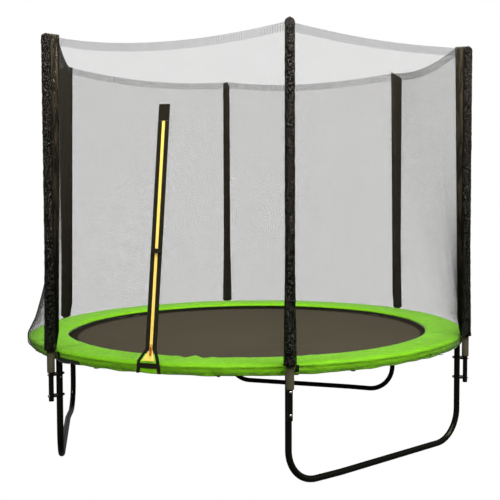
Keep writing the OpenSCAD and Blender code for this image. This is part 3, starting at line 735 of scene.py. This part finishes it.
class TRAMPOLINE_OT_pad(Builder, bpy.types.Operator):
    """Add the padded ring with its skirt and the elastic straps under it"""

    bl_idname = "trampoline.pad"
    bl_label = "Spring pad"

    def build(self, s):
        seg, skirt_from = 720, 19
        b = PAD_LOW
        # Section: radius and height in tenths of a millimetre, and tenths of the waves
        # The rim's inner lip hangs 12 mm below the pad and takes the dark underside colour, as
        # painted shade
        rim = ((100, 0, 0), (85, -120, 0), (72, -122, 0), (52, -2, 0), (20, 20, 3))
        rim += ((0, 55, 5), (20, 90, 6))
        crown = ((80, -85, 8), (160, -55, 9), (280, -32, 10), (450, -14, 10))
        crown += ((700, -6, 10), (1050, -2, 10))
        outer = ((-800, -4, 10), (-500, -10, 10), (-300, -24, 9), (-160, -48, 7), (-70, -85, 5))
        outer += ((-20, -135, 3), (-6, -180, 3), (-14, -230, 4), (-10, -275, 6), (-6, -345, 9))
        outer += ((-8, -415, 10), (-14, -480, 10), (-20, -545, 10), (-36, -545, 10))
        outer += ((-64, -225, 0),)
        profile = [
            (r0 + r / 1e4, z0 + z / 1e4, share / 10)
            for r0, z0, part in (
                (PAD_IN, PAD_LOW, rim),
                (PAD_IN, PAD_TOP, crown),
                (PAD_OUT, PAD_TOP, outer),
            )
            for r, z, share in part
        ]
        verts, uvs = [], []
        for a, ca, sa in around(seg):
            az = math.degrees(a)
            soft = wobble(7 * ca, 7 * sa, 0.0, 1)
            fine = wobble(26 * ca, 26 * sa, 0.0, 2)
            edge = 0.0022 * wobble(14 * ca, 14 * sa, 0.0, 3)
            drop = 0.004 * wobble(17 * ca, 17 * sa, 0.0, 4)
            pinch = max(0.0, 0.5 + wobble(11 * ca, 11 * sa, 0.0, 7))
            lift = RIPPLE * math.exp(-(((az - RIPPLE_AZ) / RIPPLE_REACH) ** 2))
            lift *= cos(radians(az - RIPPLE_AZ) * RIPPLES)
            # The skirt hangs lower at the far side and where it is turned up
            tucked = min(1.0, (az - TUCK_FROM) / 1.5, (TUCK_TO - az) / 7)
            far = min(1.0, max(0.0, 3 * sa + 0.15, tucked))
            low = 0.006 * min(1.0, max(0.0, 3 * sa - 0.6))
            for j, (r, z, w) in enumerate(profile):
                out = bulge(az)
                if j < skirt_from:
                    dents = wobble(18 * ca * r, 18 * sa * r, 30 * r, 5)
                    z += w * s.pad_wave * (0.6 * soft + 0.35 * fine + 0.5 * dents)
                    if j < 9:
                        r += edge * (1 - j / 9)
                    if 5 < j < 12:
                        z += lift * (1 - abs(j - 8) / 4)
                else:
                    ridge = abs(wobble(46 * ca, 46 * sa, 55 * z, 6))
                    crease = abs(wobble(110 * ca + 60 * z, 110 * sa, 70 * z, 8))
                    r -= s.skirt_wave * w * (1.5 - 2.4 * ridge - 1.2 * crease)
                    if j < skirt_from + 3:
                        r -= 0.0035 * pinch * (1 - abs(j - skirt_from - 1) / 3)
                    z += drop * w if z < b - 0.025 else 0.0
                    out *= 1.0 - 0.7 * (b - z) / (b - SKIRT_Z) if z < b else 1.0
                if j >= skirt_from and z < b - 0.03:
                    z = z * (1 - far) + (SKIRT_Z - 0.0085 - low + 0.2 * drop) * far
                z = max(z, SKIRT_Z - 0.004 - 0.006 * far - low)
                r = min(r, PAD_OUT + 0.0008) + out
                verts.append((r * ca, r * sa, z))
                # Dark underside colour on the underside, the hanging inner lip and the skirt's
                # inner hem; on the lip and the turned-up skirt it is painted shade
                underside_and_shade = not 3 < j < len(profile) - 1
                underside_and_shade = underside_and_shade or (tucked > 0.2 and j > skirt_from + 3)
                uvs.append((a * 1.13 + (UNDERSIDE_SHADE_U if underside_and_shade else 0.0), r + z))
        faces = grid_faces(len(profile), seg, wrap_u=True, wrap_v=True)
        pad = piece("pad_cover", verts, faces, uvs, "green_pad", "spring_pad")
        self.straps()

    def straps(self):
        """Twelve elastic straps from the pad's underside around the ring to its skirt."""
        low = RING_Z - TUBE_R - 0.005
        x0, x1 = RING_R - TUBE_R - 0.0036, PAD_OUT - 0.001
        line = [(x0, PAD_LOW - 0.001), (x0, low + 0.006), (x0 + 0.003, low + 0.001)]
        line += [(x0 + 0.010, low), (x1 - 0.008, low), (x1 - 0.001, low + 0.001), (x1, SKIRT_Z)]
        verts, faces, uvs = [], [], []
        for az in (pole_az(k) + side for k in range(1, 7) for side in (-15, 15)):
            faces += grid_faces(2, len(line), start=len(verts))
            for r, z in line:
                for y in (-0.006, 0.006):
                    verts.append(turned((r, y, z), az))
                    uvs.append((y, r + z))
        piece("pad_straps", verts, faces, uvs, "black_webbing", "pad_ties", thick=(0.0012, 0.0))


class TRAMPOLINE_OT_net(Builder, bpy.types.Operator):
    """Add the six net panels with their bands, the straps at the net's foot and the zip"""

    bl_idname = "trampoline.net"
    bl_label = "Net"

    def build(self, s):
        self.s = s
        foot = [self.foot_hem(), self.foot_straps()]
        more = {1: foot, 6: [self.zip_strips(), self.zip_tape()]}
        for k in range(1, 7):
            az = pole_az(k) + 30
            panel = self.zip_panel(az) if k == 6 else self.panel(k, az)
            self.top_band(k, az)
            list(more.get(k, []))

    def slack(self, p, t, v, seed):
        """Push a net point in or out by the shallow folds of slack cloth."""
        hold = max(0.0, 1 - t**6) * min(1.0, 9 * v) * min(1.0, 5 * (1 - v) + 0.3)
        wave = wobble(2.2 * t, 1.1 * v, 0.0, seed) + 0.5 * wobble(7 * t, 2.0 * v, 0.5, seed)
        return out_by(p, self.s.net_wave * hold * wave)

    def panel(self, k, az):
        nu, nv = 61, 71
        verts, uvs = [], []
        for j in range(nv):
            v = (j / (nv - 1)) ** 1.5
            for i in range(nu):
                t = 2 * i / (nu - 1) - 1
                z = NET_FOOT + v * (edge_z(t) + edge_lift(az, t, k) - NET_FOOT)
                y = t * half_w(z)
                p = self.slack((panel_x(y, z, round_share(z)), y, z), t, v, k)
                fade = min(1.0, max(0.0, 1 - (z - FLARE_Z) / BULGE_TOP)) ** 1.5
                there = az + math.degrees(math.atan2(y, p[0]))
                verts.append(turned(out_by(p, bulge(there) * fade), az))
                uvs.append((t * 0.61, z))
        cad_node = "net" if k == 1 else None
        return piece(f"net_panel_{k}", verts, grid_faces(nu, nv), uvs, "grey_mesh", cad_node)

    def zip_panel(self, az):
        """The panel with the opening, whose middle column of faces is left out."""
        side, lows, mids, tops = 28, 8, 50, 16
        verts, uvs = [], []
        nu = 2 * side + 2
        rows = [NET_FOOT + (ZIP_LOW - NET_FOOT) * j / lows for j in range(lows)]
        rows += [ZIP_LOW + (ZIP_TOP - ZIP_LOW) * j / mids for j in range(mids)]
        for j in range(lows + mids + tops + 1):
            for i in range(nu):
                sign = -1 if i <= side else 1
                f = (side - i) / side if sign < 0 else (i - side - 1) / side
                t = sign * (0.041 + 0.959 * f)
                if j < len(rows):
                    z = rows[j]
                else:
                    edge = edge_z(t) + edge_lift(az, t, 6)
                    z = ZIP_TOP + (j - len(rows)) / tops * (edge - ZIP_TOP)
                y = zip_mid(z) * (1 - f) + sign * (gap_half(z) + f * (half_w(z) - gap_half(z)))
                v = (z - rows[0]) / (edge_z(t) - rows[0])
                p = (panel_x(y, z, zip_share(z)), y, z)
                calm = min(1.0, 3 * f)
                p = tuple(a + (b - a) * calm for a, b in zip(p, self.slack(p, t, v, 6)))
                verts.append(turned(p, az))
                uvs.append((y, z))
        faces = grid_faces(
            nu, lows + mids + tops + 1, keep=lambda i, j: i != side or j >= len(rows)
        )
        return piece("net_panel_6", verts, faces, uvs, "grey_mesh")

    def top_band(self, k, az):
        nu, levels = 41, (0.0, 0.15, 0.5, 0.85, 1.0)
        share = zip_share if k == 6 else round_share
        verts, uvs = [], []
        for h in levels:
            for i in range(nu):
                t = 2 * i / (nu - 1) - 1
                lift = edge_lift(az, t, k)
                wide = BAND_W + (0.3 * max(0.0, lift) if k in (2, 3, 4) else 0.0)
                z = edge_z(t) + lift + 0.0003 + h * wide
                y = t * half_w(z)
                wave = 0.0010 * wobble(9 * t, 2 * h, 0, 20 + k)
                verts.append(turned(out_by((panel_x(y, z, share(z)), y, z), wave), az))
                uvs.append((t * 0.61, h * BAND_W))
        faces = grid_faces(nu, len(levels))
        cad_node = "net_hem" if k == 1 else None
        thick = (0.0028, 0.0)
        return piece(f"net_band_{k}", verts, faces, uvs, "grey_hem", cad_node, thick=thick)

    def foot_hem(self):
        """The band around the net's foot, open at the zip."""
        gap = math.degrees(math.asin(gap_half(SKIRT_Z) / NET_R)) + 0.02
        seg = 360
        verts, uvs = [], []
        for i in range(seg + 1):
            a = ZIP_AZ + gap + (360 - 2 * gap) * i / seg
            out = NET_R + bulge(a % 360) * 0.5
            for r, z in ((0.001, 0.009), (0.001, 0.014), (-0.001, 0.014), (-0.001, 0.009)):
                verts.append(turned((out + r, 0, SKIRT_Z + z), a))
                uvs.append((radians(a) * NET_R, r + z))
        faces = grid_faces(4, seg + 1, wrap_u=True)
        faces += [(3, 2, 1, 0), tuple(4 * seg + k for k in range(4))]
        return piece("net_foot_hem", verts, faces, uvs, "grey_hem", "net_lower_hem", smooth=False)

    def foot_straps(self):
        """Two webbing straps at each pole, from the ring under the skirt to the net."""
        low, half, thin = RING_Z - TUBE_R - 0.0020, 0.009, 0.0007
        start, inner, outer = RING_R - TUBE_R - 0.0012, PAD_OUT - 0.006, NET_R + 0.0027
        base = [(start, RING_Z - 0.003), (start, low + 0.004), (start + 0.003, low)]
        base += [(inner, low), (inner, low + 0.003)]
        verts, faces, uvs = [], [], []
        for k in range(1, 7):
            # One strap ends inside the skirt, the other shows in front of the net's foot
            for side, r_end, ends in ((-1.9, inner, (0.001, 0.003)), (1.72, outer, (0.028, 0.046))):
                line = base + [(r_end, SKIRT_Z + end) for end in ends]
                rows = []
                for d in (thin, -thin):
                    row = []
                    for n, (r, z) in enumerate(line):
                        r, z = (r, z - d) if n in (2, 3) else (r + d, z)
                        row += [turned((r, y, z), pole_az(k) + side) for y in (-half, half)]
                    rows.append(row)
                strip_solid(*rows, verts, faces)
                uvs += [(0.002 * n, 0.001 * n) for n in range(len(verts) - len(uvs))]
        return piece(
            "net_straps", verts, faces, uvs, "black_webbing", "net_lower_hem", smooth=False
        )

    def zip_strips(self):
        """The strips beside the zip, the patch over its end and what crosses it."""
        verts, faces = [], []
        levels = [SKIRT_Z + d for d in (0.0, 0.015, 0.030, 0.044)]
        levels += [FLARE_Z + d for d in (0.0, 0.013, 0.027, 0.042)] + [ZIP_LOW, ZIP_LOW + 0.03]
        levels += [0.75 + 0.1 * i for i in range(10)] + [ZIP_TOP - PATCH_LEN + 0.0002]
        for side in (-1, 1):
            line = []
            for z in levels:
                y0 = zip_mid(z) + side * (gap_half(z) + STRIP_LAP)
                y1 = y0 - side * (STRIP_LOW_W if z < ZIP_LOW else STRIP_W)
                line += [(panel_x(y, z, zip_share(z)), y, z) for y in sorted((y0, y1))]
            net_strip(line, verts, faces)
        edge = ZIP_W / 2 + STRIP_LAP
        line = [(0, y, ZIP_END - back) for back in (PATCH_LEN, 0.04, 0) for y in (-edge, edge)]
        zip_strip(line, STRIP, verts, faces)
        # The bar across the opening below the gusset
        reach = gap_half(ZIP_BAR + 0.008) + STRIP_LAP - 0.0152
        line = []
        for i in range(9):
            y = zip_mid(FLARE_Z) - reach + 2 * reach * i / 8
            line += [(math.sqrt(NET_R**2 - y * y), y, ZIP_BAR + up) for up in (0.026, 0.004)]
        net_strip(line, verts, faces)
        # A short strap that bridges the zip halfway up, with room for the slider under it
        line = []
        for i in range(9):
            u = i / 4 - 1
            rise = 0.0014 + STRAP_RISE * min(1.0, 1.6 * (1 - u * u))
            half = 0.011 * (1 - 0.25 * u * u)
            y = u * (ZIP_W / 2 + 0.002)
            line += [(rise, y, ZIP_STRAP + along) for along in (-half, half)]
        zip_strip(line, BRIDGE, verts, faces)
        uvs = [(x * 0.5 + y, z) for x, y, z in verts]
        return piece("zip_strips", verts, faces, uvs, "black_webbing", "zip_border", smooth=False)

    def zip_tape(self):
        """The two halves of the tape, the teeth between them and the gusset below."""
        verts, faces = [], []
        s0 = (ZIP_LOW - 0.008 - FLARE_Z) / cos(ZIP_TILT)
        s1 = ZIP_END - PATCH_LEN + 0.0001
        for side in (-1, 1):
            ys = sorted((side * SLIT / 2, side * TAPE_W / 2))
            line = [(0, y, s) for s in (s0, s0 + 0.2, s1 - 0.2, s1) for y in ys]
            zip_strip(line, TAPE, verts, faces)
        # Teeth: short blocks on both edges of the slit, left and right by turns
        for n in range(int((s1 - s0) / TOOTH_PITCH)):
            mid = s0 + (n + 0.5) * TOOTH_PITCH
            side = 1 if n % 2 else -1
            ys = sorted((side * -0.0008, side * 0.0042))
            line = [(0, y, s) for s in (mid - TOOTH_HALF, mid + TOOTH_HALF) for y in ys]
            zip_strip(line, TOOTH, verts, faces)
        line = []
        for s, half in ((s0 - 0.0004, 0.011), (0.024, 0.021), (0.001, 0.031)):
            mid = zip_mid(FLARE_Z + s)
            line += [(0, mid - half, s), (0, mid + half, s)]
        zip_strip(line, TAPE, verts, faces)
        uvs = [(x * 0.5 - y, z) for x, y, z in verts]
        return piece("zip_cloth", verts, faces, uvs, "yellow_tape", "zip_tape", smooth=False)


class TRAMPOLINE_OT_sleeves(Builder, bpy.types.Operator):
    """Add the crinkled pole sleeves with their sewn flanges, and the foam tubes"""

    bl_idname = "trampoline.sleeves"
    bl_label = "Pole sleeves"

    def build(self, s):
        for k in range(1, 7):
            self.sleeve(k, s.sleeve_wave)
            self.foam(k)

    def sleeve(self, k, wave):
        rows, r0 = 190, SLEEVE_R
        verts, uvs = [], []
        for j in range(rows):
            z = SLEEVE_LOW + j / (rows - 1) * (SLEEVE_TOP - 0.002 - SLEEVE_LOW)
            near_top = max(0.0, (z - (SLEEVE_TOP - 0.020)) / 0.018)
            rad = r0 * math.sqrt(max(0.0, 1 - min(0.97, near_top) ** 2))
            tip = seam_r(z) - 0.0055
            loose = SLEEVE_LOOSE * max(0.0, 1 - (z - SLEEVE_LOW) / 0.5) ** 1.3
            fade = min(1.0, (1 - near_top) + 0.1)
            ring = []
            for i in range(TUBE_STEPS + 1):
                a = math.pi - SLEEVE_OPEN - (TAU - 2 * SLEEVE_OPEN) * i / TUBE_STEPS
                ca, sa = cos(a), sin(a)
                n = wobble(3.2 * ca, 3.2 * sa, 34 * z, 30 + k)
                n += 0.6 * wobble(6 * ca, 6 * sa, 80 * z, 40 + k)
                r = rad + min(wave * n * fade, SLEEVE_ROOM)
                r += loose * min(1.0, max(0.0, 1.4 * (ca + 0.85)))
                ring.append((POLE_R + r * ca, r * sa))
            fold = []
            start = POLE_R - rad * cos(SLEEVE_OPEN)
            for i in range(FOLD_ROWS):
                f = i / FOLD_ROWS
                bend = 0.0012 * wobble(30 * z, 3 * f, 0.0, 50 + k) * min(1.0, 4 * f)
                fold.append((tip + (start - tip) * f, bend))
            row = [(x, FLANGE_HALF + bend) for x, bend in fold] + ring
            row += [(x, -FLANGE_HALF + bend) for x, bend in reversed(fold)]
            # Tops are raised as a whole, towards the flange or towards one side
            high = SLEEVE_PEAKS.get(k, 0.0) * max(0.0, 1 - (SLEEVE_TOP - z) / PEAK_REACH) ** 2
            for n, (x, y) in enumerate(row):
                share = 1.0 if k < 3 else 0.5 + y / (2 * r0)
                if k == 3:
                    share = (POLE_R + r0 - x) / (POLE_R + r0 - tip)
                verts.append(turned((x, y, z + high * min(1.0, max(0.0, share))), pole_az(k)))
                uvs.append((SLEEVE_STEP * n, z))
        count = TUBE_STEPS + 1 + 2 * FOLD_ROWS
        faces = grid_faces(count, rows, wrap_u=True)
        faces.append(tuple((rows - 1) * count + i for i in range(count)))
        cad_node, thick = f"pole_sleeve_{k}", (0.0005, -1.0)
        obj = piece(f"sleeve_{k}", verts, faces, uvs, "sleeve_fabric", cad_node, thick=thick)

    def foam(self, k):
        low, top, seg = FOAM_LOW, POLE_TOP - 0.030, 40
        profile = [(FOAM_BORE, low + 0.004), (FOAM_BORE, low + 0.001), (0.0145, low)]
        profile += [(0.0168, low), (0.0184, low + 0.0018), (FOAM_R, low + 0.006)]
        profile += [(FOAM_R, z) for z in (low + 0.05, SLEEVE_LOW - 0.001, SLEEVE_LOW + 0.05, top)]
        profile += [(FOAM_BORE, top)]
        verts, uvs = [], []
        for a, ca, sa in around(seg):
            for r, z in profile:
                r -= 0.0005 * max(0.0, wobble(2 * ca, 2 * sa, 30 * z, 60 + k))
                verts.append(turned((POLE_R + r * ca, r * sa, z), pole_az(k)))
                uvs.append((a * FOAM_R, z))
        faces = grid_faces(len(profile), seg, wrap_u=True, wrap_v=True)
        obj = piece(f"foam_{k}", verts, faces, uvs, "grey_foam", f"foam_tube_{k}")


class TRAMPOLINE_OT_stage(Builder, bpy.types.Operator):
    """Add the floor, the lights and the camera"""

    bl_idname = "trampoline.stage"
    bl_label = "Stage"

    def build(self, s):
        scene = bpy.context.scene
        tree, bsdf = principled("floor_white", (0.0, 0.0, 0.0), 0.9, Specular_IOR_Level=0.0)
        bsdf.inputs["Emission Color"].default_value = (1, 1, 1, 1)
        tree.links.new(self.seen_white(tree, 0.1), bsdf.inputs["Emission Strength"])
        corners = [(-40, -40, 0), (40, -40, 0), (40, 40, 0), (-40, 40, 0)]
        floor = new_mesh("floor", corners, [(0, 1, 2, 3)], MATS["floor_white"])
        world = bpy.data.worlds.new("Studio")
        scene.world = world
        world.use_nodes = True
        tree = world.node_tree
        back = tree.nodes["Background"]
        back.inputs["Color"].default_value = (1, 1, 1, 1)
        tree.links.new(self.seen_white(tree, 0.24), back.inputs["Strength"])
        for name, place, power, width in (
            ("softbox", (0.6, -2.3, 4.6), 560, 4.0),
            ("key", (-4.0, -3.4, 4.3), 170, 0.6),
            ("fill", (4.2, -4.0, 3.2), 90, 0.6),
        ):
            light = bpy.data.lights.new(name, "AREA")
            light.energy = power
            light.size = width
            lamp = bpy.data.objects.new(name, light)
            lamp.location = place
            aim = Vector((0, 0, 0.8)) - Vector(place)
            lamp.rotation_euler = aim.to_track_quat("-Z", "Y").to_euler()
            scene.collection.objects.link(lamp)
        scene.view_settings.view_transform = "Standard"
        self.camera(scene)

    def seen_white(self, tree, lit):
        """1 where the backdrop is seen itself, and lit where it only lights the trampoline."""
        seen = node(tree, "LightPath").outputs["Is Camera Ray"]
        calc = calculator(tree)
        return calc("ADD", calc("MULTIPLY", seen, 1.0 - lit), lit)

    def camera(self, scene):
        data = bpy.data.cameras.new("camera")
        cam = bpy.data.objects.new("camera", data)
        scene.collection.objects.link(cam)
        scene.camera = cam
        data.sensor_width, data.lens, data.clip_end = SENSOR, LENS, 200
        data.shift_x, data.shift_y = SHIFT
        yaw, pitch, roll = (radians(v) for v in CAMERA_TURN)
        ahead = Vector(
            (sin(yaw) * cos(pitch), cos(yaw) * cos(pitch), sin(pitch))
        )
        right = ahead.cross(Vector((0, 0, 1))).normalized()
        up = right.cross(ahead)
        c, n = cos(roll), sin(roll)
        right, up = right * c + up * n, up * c - right * n
        turn = Matrix((right, up, -ahead)).transposed().to_4x4()
        cam.matrix_world = Matrix.Translation(CAMERA_AT) @ turn


class TRAMPOLINE_PT_panel(bpy.types.Panel):
    """Lists the sizes, the colours and the operators"""

    bl_idname = "TRAMPOLINE_PT_panel"
    bl_label = "Trampoline"
    bl_space_type = "VIEW_3D"
    bl_region_type = "UI"
    bl_category = "Trampoline"

    def draw(self, context):
        for block in (context.scene.trampoline_sizes, context.scene.trampoline_colours):
            for key in block.__annotations__:
                self.layout.prop(block, key)
        for op in OPERATORS:
            self.layout.operator(op.bl_idname)


OPERATORS = (
    TRAMPOLINE_OT_finishes,
    TRAMPOLINE_OT_mat,
    TRAMPOLINE_OT_springs,
    TRAMPOLINE_OT_pad,
    TRAMPOLINE_OT_sleeves,
    TRAMPOLINE_OT_net,
    TRAMPOLINE_OT_stage,
)
CLASSES = (TRAMPOLINE_PG_sizes, TRAMPOLINE_PG_colours, *OPERATORS, TRAMPOLINE_PT_panel)


def register():
    for cls in CLASSES:
        bpy.utils.register_class(cls)
    bpy.types.Scene.trampoline_sizes = PointerProperty(type=TRAMPOLINE_PG_sizes)
    bpy.types.Scene.trampoline_colours = PointerProperty(type=TRAMPOLINE_PG_colours)


def unregister():
    del bpy.types.Scene.trampoline_sizes
    del bpy.types.Scene.trampoline_colours
    for cls in reversed(CLASSES):
        bpy.utils.unregister_class(cls)


def main():
    register()
    for name in ("finishes", "mat", "springs", "pad", "sleeves", "net", "stage"):
        getattr(bpy.ops.trampoline, name)()
    bpy.context.view_layer.update()


if __name__ == "__main__":
    main()
